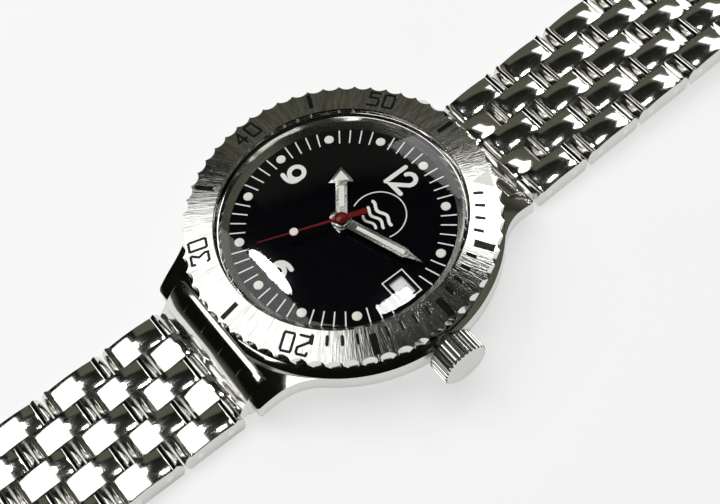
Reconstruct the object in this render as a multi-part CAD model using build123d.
from build123d import *
import math
import os

# Diver's wristwatch with a rotating bezel and a link bracelet, in millimetres.
# The origin is the centre of the case back's flat face, +Z points out of the dial, +Y to 12 o'clock
# and +X to 3 o'clock, where the crown is.

# ---------------------------------------------------------------- driving dimensions
Z_DIAL = 10.3                 # dial face above the surface the watch rests on
RUNNING = 0.05                # radial clearance of a turning fit
DIAL_R = 14.9
DIAL_T = 0.4

CASE_R = 20.1                 # round part of the case
FLANK_TOP = 8.43              # brushed flank, top and bottom edge
FLANK_BOTTOM = 5.94
CASE_BOTTOM = 1.0
LUG_TIP_Y = 22.1
LUG_TIP_HALF_WIDTH = 10.9
LUG_TAPER = 0.22              # sideways growth of a lug per millimetre towards the centre
LUG_FILLET = 10.0
LUG_ARC_START = 12.0          # where the top and underside start to curve down
ARC_SINE = 0.85               # share of the radius that the curved ends are drawn out to
LUG_TIP_TOP = 4.9
LUG_TIP_BOTTOM = 2.7
LUG_GAP = 18.0
SPRING_BAR_Y = 20.9
SPRING_BAR_Z = 3.9
SPRING_BAR_R = 0.75
SPRING_BAR_TIP_R = 0.4
GAP_WALL_Y = 19.35            # flat wall of the case between two lugs
CASE_BORE_R = 15.0
BACK_BORE_R = 17.0            # thread of the case back's ring
BACK_BORE_TOP = 3.2
BELLY_INSET = 0.9             # the case's underside stands in from its flank
NECK_R = 17.2                 # neck that the bezel turns on
NECK_TOP = 11.4
SEAT_R = 16.45                # recess for the crystal's skirt

BEZEL_R = 20.0
BEZEL_INNER_R = 15.8
BEZEL_TOP_INNER = 12.7
BEZEL_TOP_OUTER = 11.95
BEZEL_EDGE_BOTTOM = 11.7
BEZEL_BOTTOM = 9.25
BEZEL_FOOT_R = 19.35
FLUTES = 60
FLUTE_DEPTH = 0.5
FLUTE_R = 1.35
BEZEL_TURN = -24.9            # degrees, how far the bezel's zero stands clockwise of 12 o'clock

CROWN_Z = 7.2
CROWN_R = 3.2
CROWN_X0 = 20.4
CROWN_X1 = 23.7
CROWN_FLUTES = 30
CROWN_FLUTE_R = 0.42
CROWN_FLUTE_DEPTH = 0.22
CROWN_DOME_R = 14.0
TUBE_R = 1.6
STEM_R = 0.5

CRYSTAL_R = 15.7
CRYSTAL_EDGE_Z = 12.75
CRYSTAL_RISE = 1.1            # dome above its edge
CRYSTAL_T = 1.2
CRYSTAL_INNER_R = 15.62

WINDOW_X0 = 10.3              # date window
WINDOW_X1 = 13.2
WINDOW_HALF = 1.0
DATE_DISC_Z = 9.8
DATE_DISC_INNER_R = 9.6
DATE_DISC_R = 13.9

HOUR_ANGLE = 307.0            # hands, degrees clockwise of 12 o'clock
MINUTE_ANGLE = 72.0
SECONDS_ANGLE = 202.3
HOUR_HAND_Z = Z_DIAL + 0.65
MINUTE_HAND_Z = Z_DIAL + 1.05
SECONDS_HAND_Z = Z_DIAL + 1.45
HAND_T = 0.15
NEEDLE_T = 0.12

PLATE_R = 12.2                # movement
PLATE_BOTTOM = 7.9
PLATE_TOP = 9.4
BRIDGE_BOTTOM = 5.0
BRIDGE_TOP = 5.8
ARBOR_LOW = 5.3               # wheel arbors run from the bridges into the main plate
ARBOR_HIGH = 8.6
PIVOT_R = 0.2
CENTRE_ARBOR_R = 0.25         # the seconds wheel's, which carries the seconds hand
CENTRE_BOSS_R = 1.8
BARREL_X, BARREL_Y = -6.0, 4.6
THIRD_X, THIRD_Y = 4.4, 4.4
ESCAPE_X, ESCAPE_Y = 5.0, -2.6
FORK_X, FORK_Y = 2.2, -4.9
BALANCE_X, BALANCE_Y = -2.2, -7.1
BALANCE_R = 3.6
HAIRSPRING_R = 0.62           # its innermost turn
HAIRSPRING_STEP = 0.22
HAIRSPRING_T = 0.08
PILLARS = [(0.6, 10.6), (9.4, 5.6), (-11.1, 1.0), (9.6, -3.0), (-6.9, -8.9), (3.6, -10.6)]
TRAIN_PILLARS = 4             # the first pillars carry the train bridge, the rest the balance cock
PILLAR_R = 0.9
SCREW_R = 0.45
SCREW_HEAD_R = 0.8
ROTOR_R = 13.0

PITCH = 9.1                   # bracelet
COLUMNS = 5
OUTER = (0, 2, 4)             # columns that pins hold together
INNER = (1, 3)                # columns that turn on the pins between them
COLUMN_STEP = 3.84
COLUMN_GAP = 0.08
PIN_STEP = PITCH / 2
LINK_END_R = 2.2              # rounded end about the pin, leaves a small gap to the next link
LINK_BOTTOM = -1.45
LINK_CROWN = 1.6              # height of the arched top above the pin
LINK_ARCH_R = 20.0
LINK_CHAMFER = 0.2
PIN_R = 0.6
PIN_Z = 1.45
FIRST_PIN_Y = 25.9
UNITS = 5                     # outer and inner units on each side
RISE_ANGLE = 4.5              # the 12 o'clock side rises to the folded clasp

CLASP_LENGTH = 33.0           # from the first clasp pin to the fold hinge
CLASP_HALF_WIDTH = 9.0
RISE = math.radians(RISE_ANGLE)
CLASP_STEPS = 2 * UNITS       # pin steps from the first pin to the clasp's pin
CLASP_Y = FIRST_PIN_Y + CLASP_STEPS * PIN_STEP * math.cos(RISE)
CLASP_Z = PIN_Z + CLASP_STEPS * PIN_STEP * math.sin(RISE)
COVER_START = CLASP_Y + 2.6
COVER_TOP = CLASP_Z + LINK_CROWN
COVER_T = 0.9
FOLD_Y = CLASP_Y + CLASP_LENGTH
FOLD_Z = COVER_TOP - 2.4
SECOND_FOLD_Y = CLASP_Y + 4.6
SECOND_FOLD_Z = FOLD_Z - 1.65
END_EYE_Y = FOLD_Y - 3.4      # eye for the last unit of the 6 o'clock side
END_EYE_Z = 1.0
BLADE_T = 0.9
FIRST_BLADE_HALF = 6.0
SECOND_BLADE_HALF = 2.9
EYE_R = 1.0
FOLD_PIN_R = 0.5

os.makedirs("parts", exist_ok=True)


def save(name, shape):
    """Write one named piece, in colour-free STEP."""
    shape.label = name
    export_step(shape, f"parts/{name}.step")


def group(solids):
    return Compound(children=list(solids))


def disc(radius, low, high, x=0.0, y=0.0):
    return Pos(x, y, (low + high) / 2) * Cylinder(radius, high - low)


def ring(inner, outer, low, high, x=0.0, y=0.0):
    return disc(outer, low, high, x, y) - disc(inner, low - 1, high + 1, x, y)


def block(x0, x1, y0, y1, z0, z1):
    middle = Pos((x0 + x1) / 2, (y0 + y1) / 2, (z0 + z1) / 2)
    return middle * Box(x1 - x0, y1 - y0, z1 - z0)


def turned(points):
    """Solid of revolution about Z from a closed outline of (radius, height) points."""
    outline = make_face(Plane.XZ * Polyline(*points, close=True))
    return revolve(outline, Axis.Z)


def side_prism(outline, x0, x1):
    """A YZ outline extruded from x0 to x1."""
    return Pos(x0, 0, 0) * extrude(Plane.YZ * outline, x1 - x0)


def x_rod(radius, x0, x1, y, z):
    return Pos((x0 + x1) / 2, y, z) * Rot(0, 90, 0) * Cylinder(radius, x1 - x0)


def both_ends(solid):
    """The piece at 12 o'clock and its twin at 6 o'clock."""
    return [solid, Rot(0, 0, 180) * solid]


# ---------------------------------------------------------------- case
def plan_outline():
    """Round case with four lugs seen from above, concave flares between them."""
    root_half_width = LUG_TIP_HALF_WIDTH + LUG_TAPER * LUG_TIP_Y
    lug = Polyline(
        (-root_half_width, 0),
        (-LUG_TIP_HALF_WIDTH, LUG_TIP_Y),
        (LUG_TIP_HALF_WIDTH, LUG_TIP_Y),
        (root_half_width, 0),
        (LUG_TIP_HALF_WIDTH, -LUG_TIP_Y),
        (-LUG_TIP_HALF_WIDTH, -LUG_TIP_Y),
        close=True,
    )
    outline = Circle(CASE_R) + make_face(lug)
    flares = [v for v in outline.vertices() if 14 < abs(v.Y) < 18]
    outline = fillet(flares, LUG_FILLET)
    tips = [v for v in outline.vertices() if abs(v.Y) > LUG_TIP_Y - 0.1]
    return fillet(tips, 0.6)


def arc_profile(level, tip_level, depth):
    """YZ outline under a line that is level in the middle and curves down over the lugs."""
    reach = LUG_TIP_Y - LUG_ARC_START
    drop = level - tip_level
    radius = (reach ** 2 + drop ** 2) / (2 * drop)
    end = LUG_ARC_START + radius * ARC_SINE
    low = level - radius + math.sqrt(radius ** 2 - (end - LUG_ARC_START) ** 2)
    half = math.asin(ARC_SINE) / 2
    mid = (LUG_ARC_START + radius * math.sin(half), level - radius + radius * math.cos(half))
    right = ThreePointArc((LUG_ARC_START, level), mid, (end, low))
    left = ThreePointArc((-end, low), (-mid[0], mid[1]), (-LUG_ARC_START, level))
    top = Line((-LUG_ARC_START, level), (LUG_ARC_START, level))
    sides = Polyline((end, low), (end, level - depth), (-end, level - depth), (-end, low))
    return make_face(left + top + right + sides)


def make_case():
    slab = extrude(plan_outline(), 14)
    under_top = side_prism(arc_profile(FLANK_TOP, LUG_TIP_TOP, 20), -25, 25)
    under_bottom = side_prism(arc_profile(FLANK_BOTTOM, LUG_TIP_BOTTOM, 20), -25, 25)
    band = (slab & under_top) - under_bottom
    inner = extrude(offset(plan_outline(), -BELLY_INSET), 14)
    belly = side_prism(arc_profile(FLANK_BOTTOM + 0.2, LUG_TIP_BOTTOM + 0.2, 20), -25, 25)
    belly_floor = side_prism(arc_profile(FLANK_BOTTOM - 1.1, LUG_TIP_BOTTOM - 1.1, 20), -25, 25)
    body = band + ((inner & belly) - belly_floor)
    barrel = turned([
        (0, CASE_BOTTOM),
        (17.7, CASE_BOTTOM),
        (18.9, FLANK_BOTTOM),
        (CASE_R, FLANK_BOTTOM),
        (CASE_R, FLANK_TOP),
        (18.7, FLANK_TOP + 0.7),
        (NECK_R, FLANK_TOP + 0.7),
        (NECK_R, NECK_TOP - 0.15),
        (NECK_R - 0.15, NECK_TOP),
        (0, NECK_TOP),
    ])
    body += barrel
    body -= disc(CASE_BORE_R, 0, 12)
    body -= disc(SEAT_R, Z_DIAL, 12)
    body -= disc(BACK_BORE_R, 0, BACK_BORE_TOP)
    for side in (1, -1):
        outside = side * (GAP_WALL_Y + 6)
        near, far = sorted((side * GAP_WALL_Y, outside))
        body -= block(-LUG_GAP / 2, LUG_GAP / 2, near, far, 0, FLANK_TOP + 0.69)
    body -= x_rod(TUBE_R, 10, 25, 0, CROWN_Z)
    for bar_x in (-1, 1):
        for bar_y in (-SPRING_BAR_Y, SPRING_BAR_Y):
            near, far = sorted((bar_x * 8, bar_x * 10.2))
            body -= x_rod(SPRING_BAR_TIP_R, near, far, bar_y, SPRING_BAR_Z)
    return body


save("case_body", make_case())

# Back of the case: flanged cover on a gasket, held by a threaded ring with six key notches.
case_back = turned([
    (0, 0),
    (14.0, 0),
    (14.5, 0.5),
    (14.5, 2.0),
    (16.6, 2.0),
    (16.6, 2.6),
    (13.4, 2.6),
    (13.4, 1.2),
    (0, 1.2),
])
save("case_back", case_back)
back_ring = ring(14.6, 16.98, 0.4, 2.0)
for index in range(6):
    back_ring -= Rot(0, 0, 60 * index) * block(15.6, 17.6, -1.2, 1.2, 0, 1.1)
save("case_back_ring", back_ring)
save("case_back_gasket", ring(15.3, 16.2, 2.6, 3.2))

# ---------------------------------------------------------------- crystal and rings above the dial


def dome_below(radius, edge_z, rise):
    """Everything under a shallow dome that rises from its edge to the axis."""
    sphere_r = (radius ** 2 + rise ** 2) / (2 * rise)
    ball = Pos(0, 0, edge_z + rise - sphere_r) * Sphere(sphere_r)
    return ball & disc(radius, Z_DIAL, edge_z + rise + 1)


crystal = dome_below(CRYSTAL_R, CRYSTAL_EDGE_Z, CRYSTAL_RISE) + disc(SEAT_R - 0.05, Z_DIAL, 11.35)
crystal -= dome_below(CRYSTAL_INNER_R, CRYSTAL_EDGE_Z - CRYSTAL_T, CRYSTAL_RISE - 0.1)
save("crystal", crystal)

save("tension_ring", turned([(15.15, 10.97), (15.6, 10.97), (15.6, 11.5), (15.45, 11.5)]))
rehaut = [(14.3, Z_DIAL), (15.6, Z_DIAL), (15.6, 10.95), (15.1, 10.95)]
save("rehaut_ring", turned(rehaut))


# ---------------------------------------------------------------- bezel
def make_bezel():
    body = turned([
        (BEZEL_INNER_R + 0.1, BEZEL_TOP_INNER),
        (BEZEL_R, BEZEL_TOP_OUTER),
        (BEZEL_R, BEZEL_EDGE_BOTTOM),
        (BEZEL_FOOT_R, BEZEL_BOTTOM),
        (NECK_R + RUNNING, BEZEL_BOTTOM),
        (NECK_R + RUNNING, 10.1),
        (NECK_R + 0.5, 10.1),
        (NECK_R + 0.5, 10.7),
        (NECK_R + RUNNING, 10.7),
        (NECK_R + RUNNING, NECK_TOP + 0.08),
        (BEZEL_INNER_R, NECK_TOP + 0.08),
        (BEZEL_INNER_R, BEZEL_TOP_INNER - 0.1),
    ])
    centre_r = BEZEL_R - FLUTE_DEPTH + FLUTE_R
    rim = Circle(BEZEL_R + 0.3)
    rim -= [loc * Circle(FLUTE_R) for loc in PolarLocations(centre_r, FLUTES)]
    return body & extrude(rim, 14)


save("bezel", Rot(0, 0, BEZEL_TURN) * make_bezel())
save("bezel_spring", Pos(0, 0, 10.4) * Torus(NECK_R + 0.22, 0.18))

# ---------------------------------------------------------------- dial
dial = disc(DIAL_R, Z_DIAL - DIAL_T, Z_DIAL) - disc(1.2, 9, 11)
dial -= block(WINDOW_X0, WINDOW_X1, -WINDOW_HALF, WINDOW_HALF, 9, 11)
save("dial", dial)
save("date_disc", ring(DATE_DISC_INNER_R, DATE_DISC_R, DATE_DISC_Z - 0.3, DATE_DISC_Z))


# ---------------------------------------------------------------- hands
def hand_place(angle, height):
    return Pos(0, 0, height) * Rot(0, 0, -angle)


def outline_hand(points, thickness):
    """Flat hand from its right-hand outline, pointing to 12 o'clock and mirrored to the left."""
    left = [(-x, y) for x, y in reversed(points) if x > 0]
    return extrude(make_face(Polyline(*points, *left, close=True)), thickness)


hour_outline = [(0, -1.2), (0.72, -1.0), (0.72, 5.75), (1.65, 5.75), (0, 8.1)]
hour_hand = outline_hand(hour_outline, HAND_T) + disc(1.3, 0, HAND_T) - disc(0.9, -1, 1)
save("hour_hand", hand_place(HOUR_ANGLE, HOUR_HAND_Z) * hour_hand)
save("hour_wheel", ring(0.66, 0.9, 9.45, HOUR_HAND_Z + 0.2) + ring(0.66, 1.9, 9.45, 9.8))

minute_outline = [(0, -1.6), (0.62, -1.4), (0.66, 9.4), (0.42, 9.7), (0, 12.0)]
minute_hand = outline_hand(minute_outline, HAND_T) + disc(1.1, 0, HAND_T) - disc(0.6, -1, 1)
save("minute_hand", hand_place(MINUTE_ANGLE, MINUTE_HAND_Z) * minute_hand)
save("cannon_pinion", ring(0.36, 0.6, 9.45, MINUTE_HAND_Z + 0.2))

needle = outline_hand([(0, -0.8), (0.22, -0.8), (0.08, 10.75), (0, 10.8)], NEEDLE_T)
tail = outline_hand([(0, -3.4), (0.45, -3.4), (0.34, 0)], NEEDLE_T)
lume_disc = disc(0.64, 0, 0.14, 0, 6.05)
hub = disc(0.85, -0.05, 0.22) + Pos(0, 0, 0.22) * (Sphere(0.6) & block(-1, 1, -1, 1, 0, 0.35))
seconds_hand = needle + tail + lume_disc + hub - disc(0.25, -1, 0.1)
save("seconds_hand", hand_place(SECONDS_ANGLE, SECONDS_HAND_Z) * seconds_hand)


# ---------------------------------------------------------------- movement
def toothed_wheel(radius, teeth, low, high, x, y, spokes=0):
    """Wheel with triangular teeth; spoked wheels have round openings."""
    outline = []
    for index in range(teeth):
        for share, reach in ((0.0, -0.16), (0.3, 0.0), (0.55, 0.0), (0.85, -0.16)):
            angle = 2 * math.pi * (index + share) / teeth
            outline.append(((radius + reach) * math.cos(angle), (radius + reach) * math.sin(angle)))
    wheel = make_face(Polyline(*outline, close=True))
    if spokes:
        opening = Circle(radius * 0.24)
        wheel -= [loc * opening for loc in PolarLocations(radius * 0.55, spokes)]
    return Pos(x, y, low) * extrude(wheel, high - low)


def arbor(x, y):
    return disc(PIVOT_R, ARBOR_LOW, ARBOR_HIGH, x, y)


pivots = [(BARREL_X, BARREL_Y), (THIRD_X, THIRD_Y), (ESCAPE_X, ESCAPE_Y), (FORK_X, FORK_Y)]
pivots.append((BALANCE_X, BALANCE_Y))

main_plate = disc(PLATE_R, PLATE_BOTTOM, PLATE_TOP) - disc(0.66, 7, 10)
main_plate -= ring(9.4, 14, 9.0, 10)
for pivot_x, pivot_y in pivots:
    main_plate -= disc(PIVOT_R + RUNNING, PLATE_BOTTOM - 1, PLATE_BOTTOM + 0.8, pivot_x, pivot_y)
save("main_plate", main_plate)

spacer = ring(PLATE_R + 0.02, CASE_BORE_R - 0.05, BRIDGE_BOTTOM, 9.0)
spacer += ring(14.0, CASE_BORE_R - 0.05, 9.0, Z_DIAL - DIAL_T)
spacer -= x_rod(0.8, 10, 16, 0, CROWN_Z)
save("movement_spacer", spacer)

upper_half = block(-13, 13, 0.6, 13, BRIDGE_BOTTOM, BRIDGE_TOP)
escape_side = block(2.4, 13, -4, 0.7, BRIDGE_BOTTOM, BRIDGE_TOP)
train_bridge = disc(PLATE_R, BRIDGE_BOTTOM, BRIDGE_TOP) & (upper_half + escape_side)
train_bridge += disc(CENTRE_BOSS_R, 4.0, BRIDGE_TOP)
cock_arm = block(-7.9, 2.1, -13, -3.6, BRIDGE_BOTTOM, BRIDGE_TOP)
fork_arm = block(0, 5.5, -13, -4.2, BRIDGE_BOTTOM, BRIDGE_TOP)
balance_cock = disc(PLATE_R, BRIDGE_BOTTOM, BRIDGE_TOP) & (cock_arm + fork_arm)
for pivot_x, pivot_y in pivots:
    hole = disc(PIVOT_R + RUNNING, BRIDGE_BOTTOM + 0.2, BRIDGE_TOP + 1, pivot_x, pivot_y)
    train_bridge -= hole
    balance_cock -= hole
train_bridge -= disc(CENTRE_ARBOR_R + RUNNING, BRIDGE_BOTTOM + 0.2, BRIDGE_TOP + 1)
screws = []
for index, (pillar_x, pillar_y) in enumerate(PILLARS):
    pillar = disc(PILLAR_R, BRIDGE_TOP, PLATE_BOTTOM, pillar_x, pillar_y)
    thread_hole = disc(SCREW_R, BRIDGE_BOTTOM - 1, PLATE_BOTTOM - 0.4, pillar_x, pillar_y)
    if index < TRAIN_PILLARS:
        train_bridge = train_bridge + pillar - thread_hole
    else:
        balance_cock = balance_cock + pillar - thread_hole
    screw = disc(SCREW_R, BRIDGE_BOTTOM, PLATE_BOTTOM - 0.5, pillar_x, pillar_y)
    screw += disc(SCREW_HEAD_R, BRIDGE_BOTTOM - 0.3, BRIDGE_BOTTOM, pillar_x, pillar_y)
    screw -= Pos(pillar_x, pillar_y, BRIDGE_BOTTOM - 0.25) * Box(2, 0.2, 0.15)
    screws.append(screw)
save("train_bridge", train_bridge)
save("balance_cock", balance_cock)
save("bridge_screws", group(screws))

barrel = toothed_wheel(4.5, 72, 7.0, 7.3, BARREL_X, BARREL_Y)
barrel += disc(4.1, 6.0, 7.6, BARREL_X, BARREL_Y)
barrel += arbor(BARREL_X, BARREL_Y)
save("mainspring_barrel", barrel)

seconds_wheel = toothed_wheel(3.4, 60, 6.5, 6.7, 0, 0, 5)
seconds_wheel += disc(CENTRE_ARBOR_R, ARBOR_LOW, SECONDS_HAND_Z + 0.1)
save("seconds_wheel", seconds_wheel)
third_wheel = toothed_wheel(2.7, 50, 6.9, 7.1, THIRD_X, THIRD_Y, 5) + arbor(THIRD_X, THIRD_Y)
save("third_wheel", third_wheel)
escape_wheel = toothed_wheel(1.7, 15, 7.2, 7.35, ESCAPE_X, ESCAPE_Y, 4)
escape_wheel += arbor(ESCAPE_X, ESCAPE_Y)
save("escape_wheel", escape_wheel)

fork_outline = [(0.9, 1.25), (1.5, 1.0), (0.5, -0.1), (-0.5, -0.5), (-2.4, -0.85), (-2.4, -0.6), (-0.6, 0.1)]
fork_arms = Polyline(*fork_outline, close=True)
pallet_fork = Pos(FORK_X, FORK_Y, 7.2) * extrude(make_face(fork_arms), 0.15)
pallet_fork += disc(0.45, 7.15, 7.4, FORK_X, FORK_Y) + arbor(FORK_X, FORK_Y)
save("pallet_fork", pallet_fork)

balance = ring(BALANCE_R - 0.45, BALANCE_R, 6.3, 6.7, BALANCE_X, BALANCE_Y)
for turn in (0, 90):
    arm = Rot(0, 0, turn) * Box(2 * BALANCE_R - 0.4, 0.45, 0.25)
    balance += Pos(BALANCE_X, BALANCE_Y, 6.5) * arm
balance += disc(0.5, 6.2, 6.8, BALANCE_X, BALANCE_Y) + arbor(BALANCE_X, BALANCE_Y)
save("balance_wheel", balance)
hairspring = ring(PIVOT_R, HAIRSPRING_R + HAIRSPRING_T, 5.9, 6.1, BALANCE_X, BALANCE_Y)
for turn in range(1, 7):
    radius = HAIRSPRING_R + HAIRSPRING_STEP * turn
    hairspring += ring(radius, radius + HAIRSPRING_T, 5.9, 6.1, BALANCE_X, BALANCE_Y)
hairspring += Pos(BALANCE_X + 1.2, BALANCE_Y, 6.0) * Box(1.5, HAIRSPRING_T, 0.2)
save("hairspring", hairspring)

# Winding weight: a half disc with a heavy rim that turns on the bridge's centre boss.
half_plane = block(-14, 14, -14, 0, 0, 10)
rotor = (disc(11.2, 4.2, 4.55) & half_plane) + disc(3.2, 4.2, 4.55)
rotor += ring(10.6, ROTOR_R, 3.0, 4.6) & half_plane
rotor -= disc(CENTRE_BOSS_R + RUNNING, 3, 5)
for hole_x in (-6.2, 0, 6.2):
    rotor -= disc(1.3, 4, 5, hole_x, -7.6 + abs(hole_x) * 0.35)
save("rotor", rotor)

# ---------------------------------------------------------------- crown and stem
save("crown_tube", x_rod(TUBE_R, 15.02, 22.2, 0, CROWN_Z) - x_rod(1.0, 14, 23, 0, CROWN_Z))


def make_crown():
    length = CROWN_X1 - CROWN_X0
    centre_r = CROWN_R - CROWN_FLUTE_DEPTH + CROWN_FLUTE_R
    outline = Circle(CROWN_R)
    outline -= [loc * Circle(CROWN_FLUTE_R) for loc in PolarLocations(centre_r, CROWN_FLUTES)]
    fluted = extrude(outline, length)
    domed = Pos(0, 0, length - CROWN_DOME_R) * Sphere(CROWN_DOME_R)
    edge = chamfer(Cylinder(CROWN_R, 2 * length).edges().group_by(Axis.Z)[-1], 0.25)
    knob = fluted & domed & edge
    knob -= Cylinder(TUBE_R + 2 * RUNNING, 2 * 2.0)
    knob -= Pos(0, 0, 1.0) * Cylinder(2.2, 0.6)
    knob -= Pos(0, 0, 2.2) * Cylinder(0.8, 1.2)
    return Pos(CROWN_X0, 0, CROWN_Z) * Rot(0, 90, 0) * knob


save("crown", make_crown())
gasket = x_rod(2.2, CROWN_X0 + 0.72, CROWN_X0 + 1.28, 0, CROWN_Z)
gasket -= x_rod(TUBE_R + 0.04, 20, 23, 0, CROWN_Z)
save("crown_gasket", gasket)
stem = x_rod(STEM_R, 9.0, CROWN_X0 + 2.0, 0, CROWN_Z)
stem += x_rod(0.75, CROWN_X0 + 2.0, CROWN_X0 + 2.75, 0, CROWN_Z)
stem += x_rod(0.62, 10.6, 12.0, 0, CROWN_Z)
save("winding_stem", stem)


# ---------------------------------------------------------------- bracelet
def column_span(index):
    """Left and right side of column 0 to 4."""
    centre = (index - (COLUMNS - 1) / 2) * COLUMN_STEP
    half = (COLUMN_STEP - COLUMN_GAP) / 2
    return centre - half, centre + half


def link_face():
    """Side view of one link about the middle between its pins, with an arched top."""
    ends = Pos(-PIN_STEP / 2, 0) * Circle(LINK_END_R) + Pos(PIN_STEP / 2, 0) * Circle(LINK_END_R)
    body = ends + Rectangle(PIN_STEP, 2 * LINK_END_R)
    arch = Pos(0, LINK_CROWN - LINK_ARCH_R) * Circle(LINK_ARCH_R)
    floor = Pos(0, LINK_BOTTOM + 5) * Rectangle(2 * PITCH, 10)
    return body & arch & floor


def link_columns(indices, hole_r):
    """Links of one unit, with both pin holes."""
    solids = []
    for index in indices:
        x0, x1 = column_span(index)
        link = side_prism(link_face(), x0, x1)
        link = chamfer(link.edges().filter_by(Axis.X, reverse=True).group_by(Axis.Z)[-1], LINK_CHAMFER)
        for pin_y in (-PIN_STEP / 2, PIN_STEP / 2):
            link -= x_rod(hole_r, x0 - 1, x1 + 1, pin_y, 0)
        solids.append(link)
    return solids


def outer_unit():
    """Three links held together by two pins."""
    solids = link_columns(OUTER, PIN_R)
    left, right = column_span(0)[0], column_span(COLUMNS - 1)[1]
    for pin_y in (-PIN_STEP / 2, PIN_STEP / 2):
        solids.append(x_rod(PIN_R, left + 0.05, right - 0.05, pin_y, 0))
    return solids


def place_side(solids, steps, rise, turned_round):
    """Put a unit whose middle is `steps` pin steps beyond the first pin on one side of the case."""
    along = Rot(rise, 0, 0) * Pos(0, (steps + 0.5) * PIN_STEP, 0)
    placed = [Pos(0, FIRST_PIN_Y, PIN_Z) * along * solid for solid in solids]
    if turned_round:
        placed = [Rot(0, 0, 180) * solid for solid in placed]
    return placed


outer_solids = outer_unit()
inner_solids = link_columns(INNER, PIN_R + RUNNING)
for side, rise, turned_round in (("12", RISE_ANGLE, False), ("6", 0, True)):
    for unit in range(UNITS):
        outer = place_side(outer_solids, 2 * unit, rise, turned_round)
        inner = place_side(inner_solids, 2 * unit + 1, rise, turned_round)
        save(f"outer_links_{side}_{unit + 1}", group(outer))
        save(f"inner_links_{side}_{unit + 1}", group(inner))


def make_end_link():
    """Block between two lugs, with two half links that carry the bracelet's first pin."""
    half = LUG_GAP / 2 - 0.05
    profile = Polyline(
        (GAP_WALL_Y + 0.05, 7.0),
        (20.9, 6.25),
        (22.65, 4.3),
        (22.65, 0.9),
        (21.4, 0.6),
        (GAP_WALL_Y + 0.05, 1.4),
        close=True,
    )
    body = side_prism(make_face(profile), -half, half)
    for index in (0, 1, 2, 3):
        seam = column_span(index)[1]
        body -= Pos(seam, 20.9, 6.25) * Rot(-40, 0, 0) * Box(0.12, 8, 0.3)
    knuckle = link_face() & (Pos(PITCH / 2, 0) * Rectangle(PITCH, PITCH))
    height = LINK_CROWN - LINK_BOTTOM - 0.4
    shank = Pos(-1.6, LINK_BOTTOM + height / 2) * Rectangle(3.4, height)
    half_link = knuckle + shank
    for index in INNER:
        x0, x1 = column_span(index)
        body += Pos(0, FIRST_PIN_Y - PIN_STEP / 2, PIN_Z) * side_prism(half_link, x0, x1)
        body -= x_rod(PIN_R + RUNNING, x0 - 1, x1 + 1, FIRST_PIN_Y, PIN_Z)
    body -= x_rod(SPRING_BAR_R, -20, 20, SPRING_BAR_Y, SPRING_BAR_Z)
    return body


end_link = make_end_link()
save("end_link_12", end_link)
save("end_link_6", Rot(0, 0, 180) * end_link)
bar = x_rod(SPRING_BAR_R, -8.6, 8.6, SPRING_BAR_Y, SPRING_BAR_Z)
bar += x_rod(SPRING_BAR_TIP_R, -10.0, 10.0, SPRING_BAR_Y, SPRING_BAR_Z)
save("spring_bars", group(both_ends(bar)))

# ---------------------------------------------------------------- clasp, folded, on the 12 o'clock side


def make_cover():
    end = FOLD_Y + 1.2
    under = COVER_TOP - COVER_T
    plate = block(-CLASP_HALF_WIDTH, CLASP_HALF_WIDTH, COVER_START, end, under, COVER_TOP)
    for side in (-1, 1):
        near, far = sorted((side * (CLASP_HALF_WIDTH - COVER_T), side * CLASP_HALF_WIDTH))
        plate += block(near, far, COVER_START, end, FOLD_Z - COVER_T, COVER_TOP - 0.1)
    plate = chamfer(plate.edges().group_by(Axis.Z)[-1], 0.3)
    for index in OUTER:
        x0, x1 = column_span(index)
        knuckle = Rot(RISE_ANGLE, 0, 0) * side_prism(Circle(LINK_END_R - 0.6), x0, x1)
        tongue = block(x0, x1, 0, 3.4, LINK_CROWN - COVER_T, LINK_CROWN)
        plate += Pos(0, CLASP_Y, CLASP_Z) * (knuckle + tongue)
    plate -= x_rod(PIN_R, -9.4, 9.4, CLASP_Y, CLASP_Z)
    plate -= x_rod(FOLD_PIN_R, -CLASP_HALF_WIDTH + 0.3, CLASP_HALF_WIDTH - 0.3, FOLD_Y, FOLD_Z)
    return plate


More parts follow.
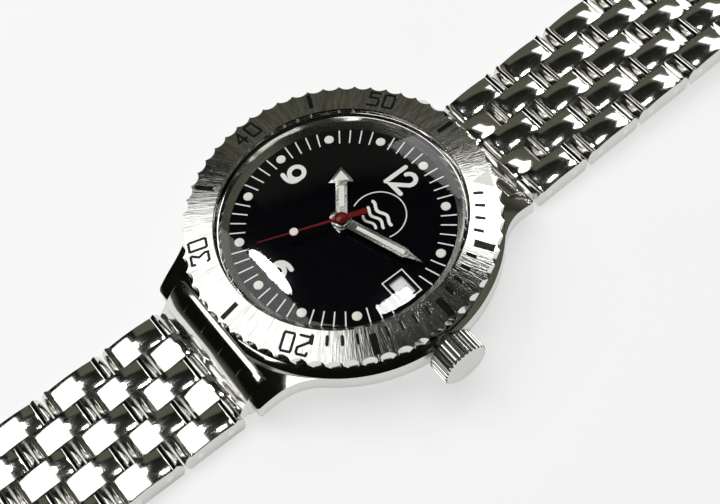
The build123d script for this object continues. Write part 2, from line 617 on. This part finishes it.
def blade(half_width, y0, z0, y1, z1, plate_low):
    """Flat blade with a rolled eye round each of its two fold pins."""
    body = block(-half_width, half_width, y0, y1, plate_low, plate_low + BLADE_T)
    for eye_y, eye_z in ((y0, z0), (y1, z1)):
        body += x_rod(EYE_R, -half_width, half_width, eye_y, eye_z)
        if abs(eye_z - plate_low) > BLADE_T:
            low, high = sorted((eye_z, plate_low))
            body += block(-half_width, half_width, eye_y - BLADE_T / 2, eye_y + BLADE_T / 2, low, high)
    return body


clasp_cover = make_cover()
save("clasp_cover", clasp_cover)
first_blade = blade(FIRST_BLADE_HALF, SECOND_FOLD_Y, SECOND_FOLD_Z, FOLD_Y, FOLD_Z, FOLD_Z - 0.45)
first_blade -= block(-3.0, 3.0, SECOND_FOLD_Y - 1.2, SECOND_FOLD_Y + 1.6, 0, SECOND_FOLD_Z + 1.2)
first_blade -= x_rod(FOLD_PIN_R + RUNNING, -7, 7, FOLD_Y, FOLD_Z)
first_blade -= x_rod(FOLD_PIN_R, -7, 7, SECOND_FOLD_Y, SECOND_FOLD_Z)
second_fold_pin = x_rod(FOLD_PIN_R, -5.95, 5.95, SECOND_FOLD_Y, SECOND_FOLD_Z)
save("clasp_first_blade", group([first_blade, second_fold_pin]))
second_blade = blade(SECOND_BLADE_HALF, SECOND_FOLD_Y, SECOND_FOLD_Z, END_EYE_Y, END_EYE_Z, 0.0)
second_blade += block(-7.5, 7.5, SECOND_FOLD_Y + 4, END_EYE_Y, 0, BLADE_T)
second_blade += x_rod(EYE_R, -7.5, 7.5, END_EYE_Y, END_EYE_Z)
second_blade -= x_rod(FOLD_PIN_R + RUNNING, -9, 9, SECOND_FOLD_Y, SECOND_FOLD_Z)
second_blade -= x_rod(PIN_R, -9, 9, END_EYE_Y, END_EYE_Z)
save("clasp_second_blade", second_blade)
clasp_pins = [
    x_rod(PIN_R, -9.3, 9.3, CLASP_Y, CLASP_Z),
    x_rod(FOLD_PIN_R, -CLASP_HALF_WIDTH + 0.35, CLASP_HALF_WIDTH - 0.35, FOLD_Y, FOLD_Z),
]
save("clasp_cover_pins", group(clasp_pins))
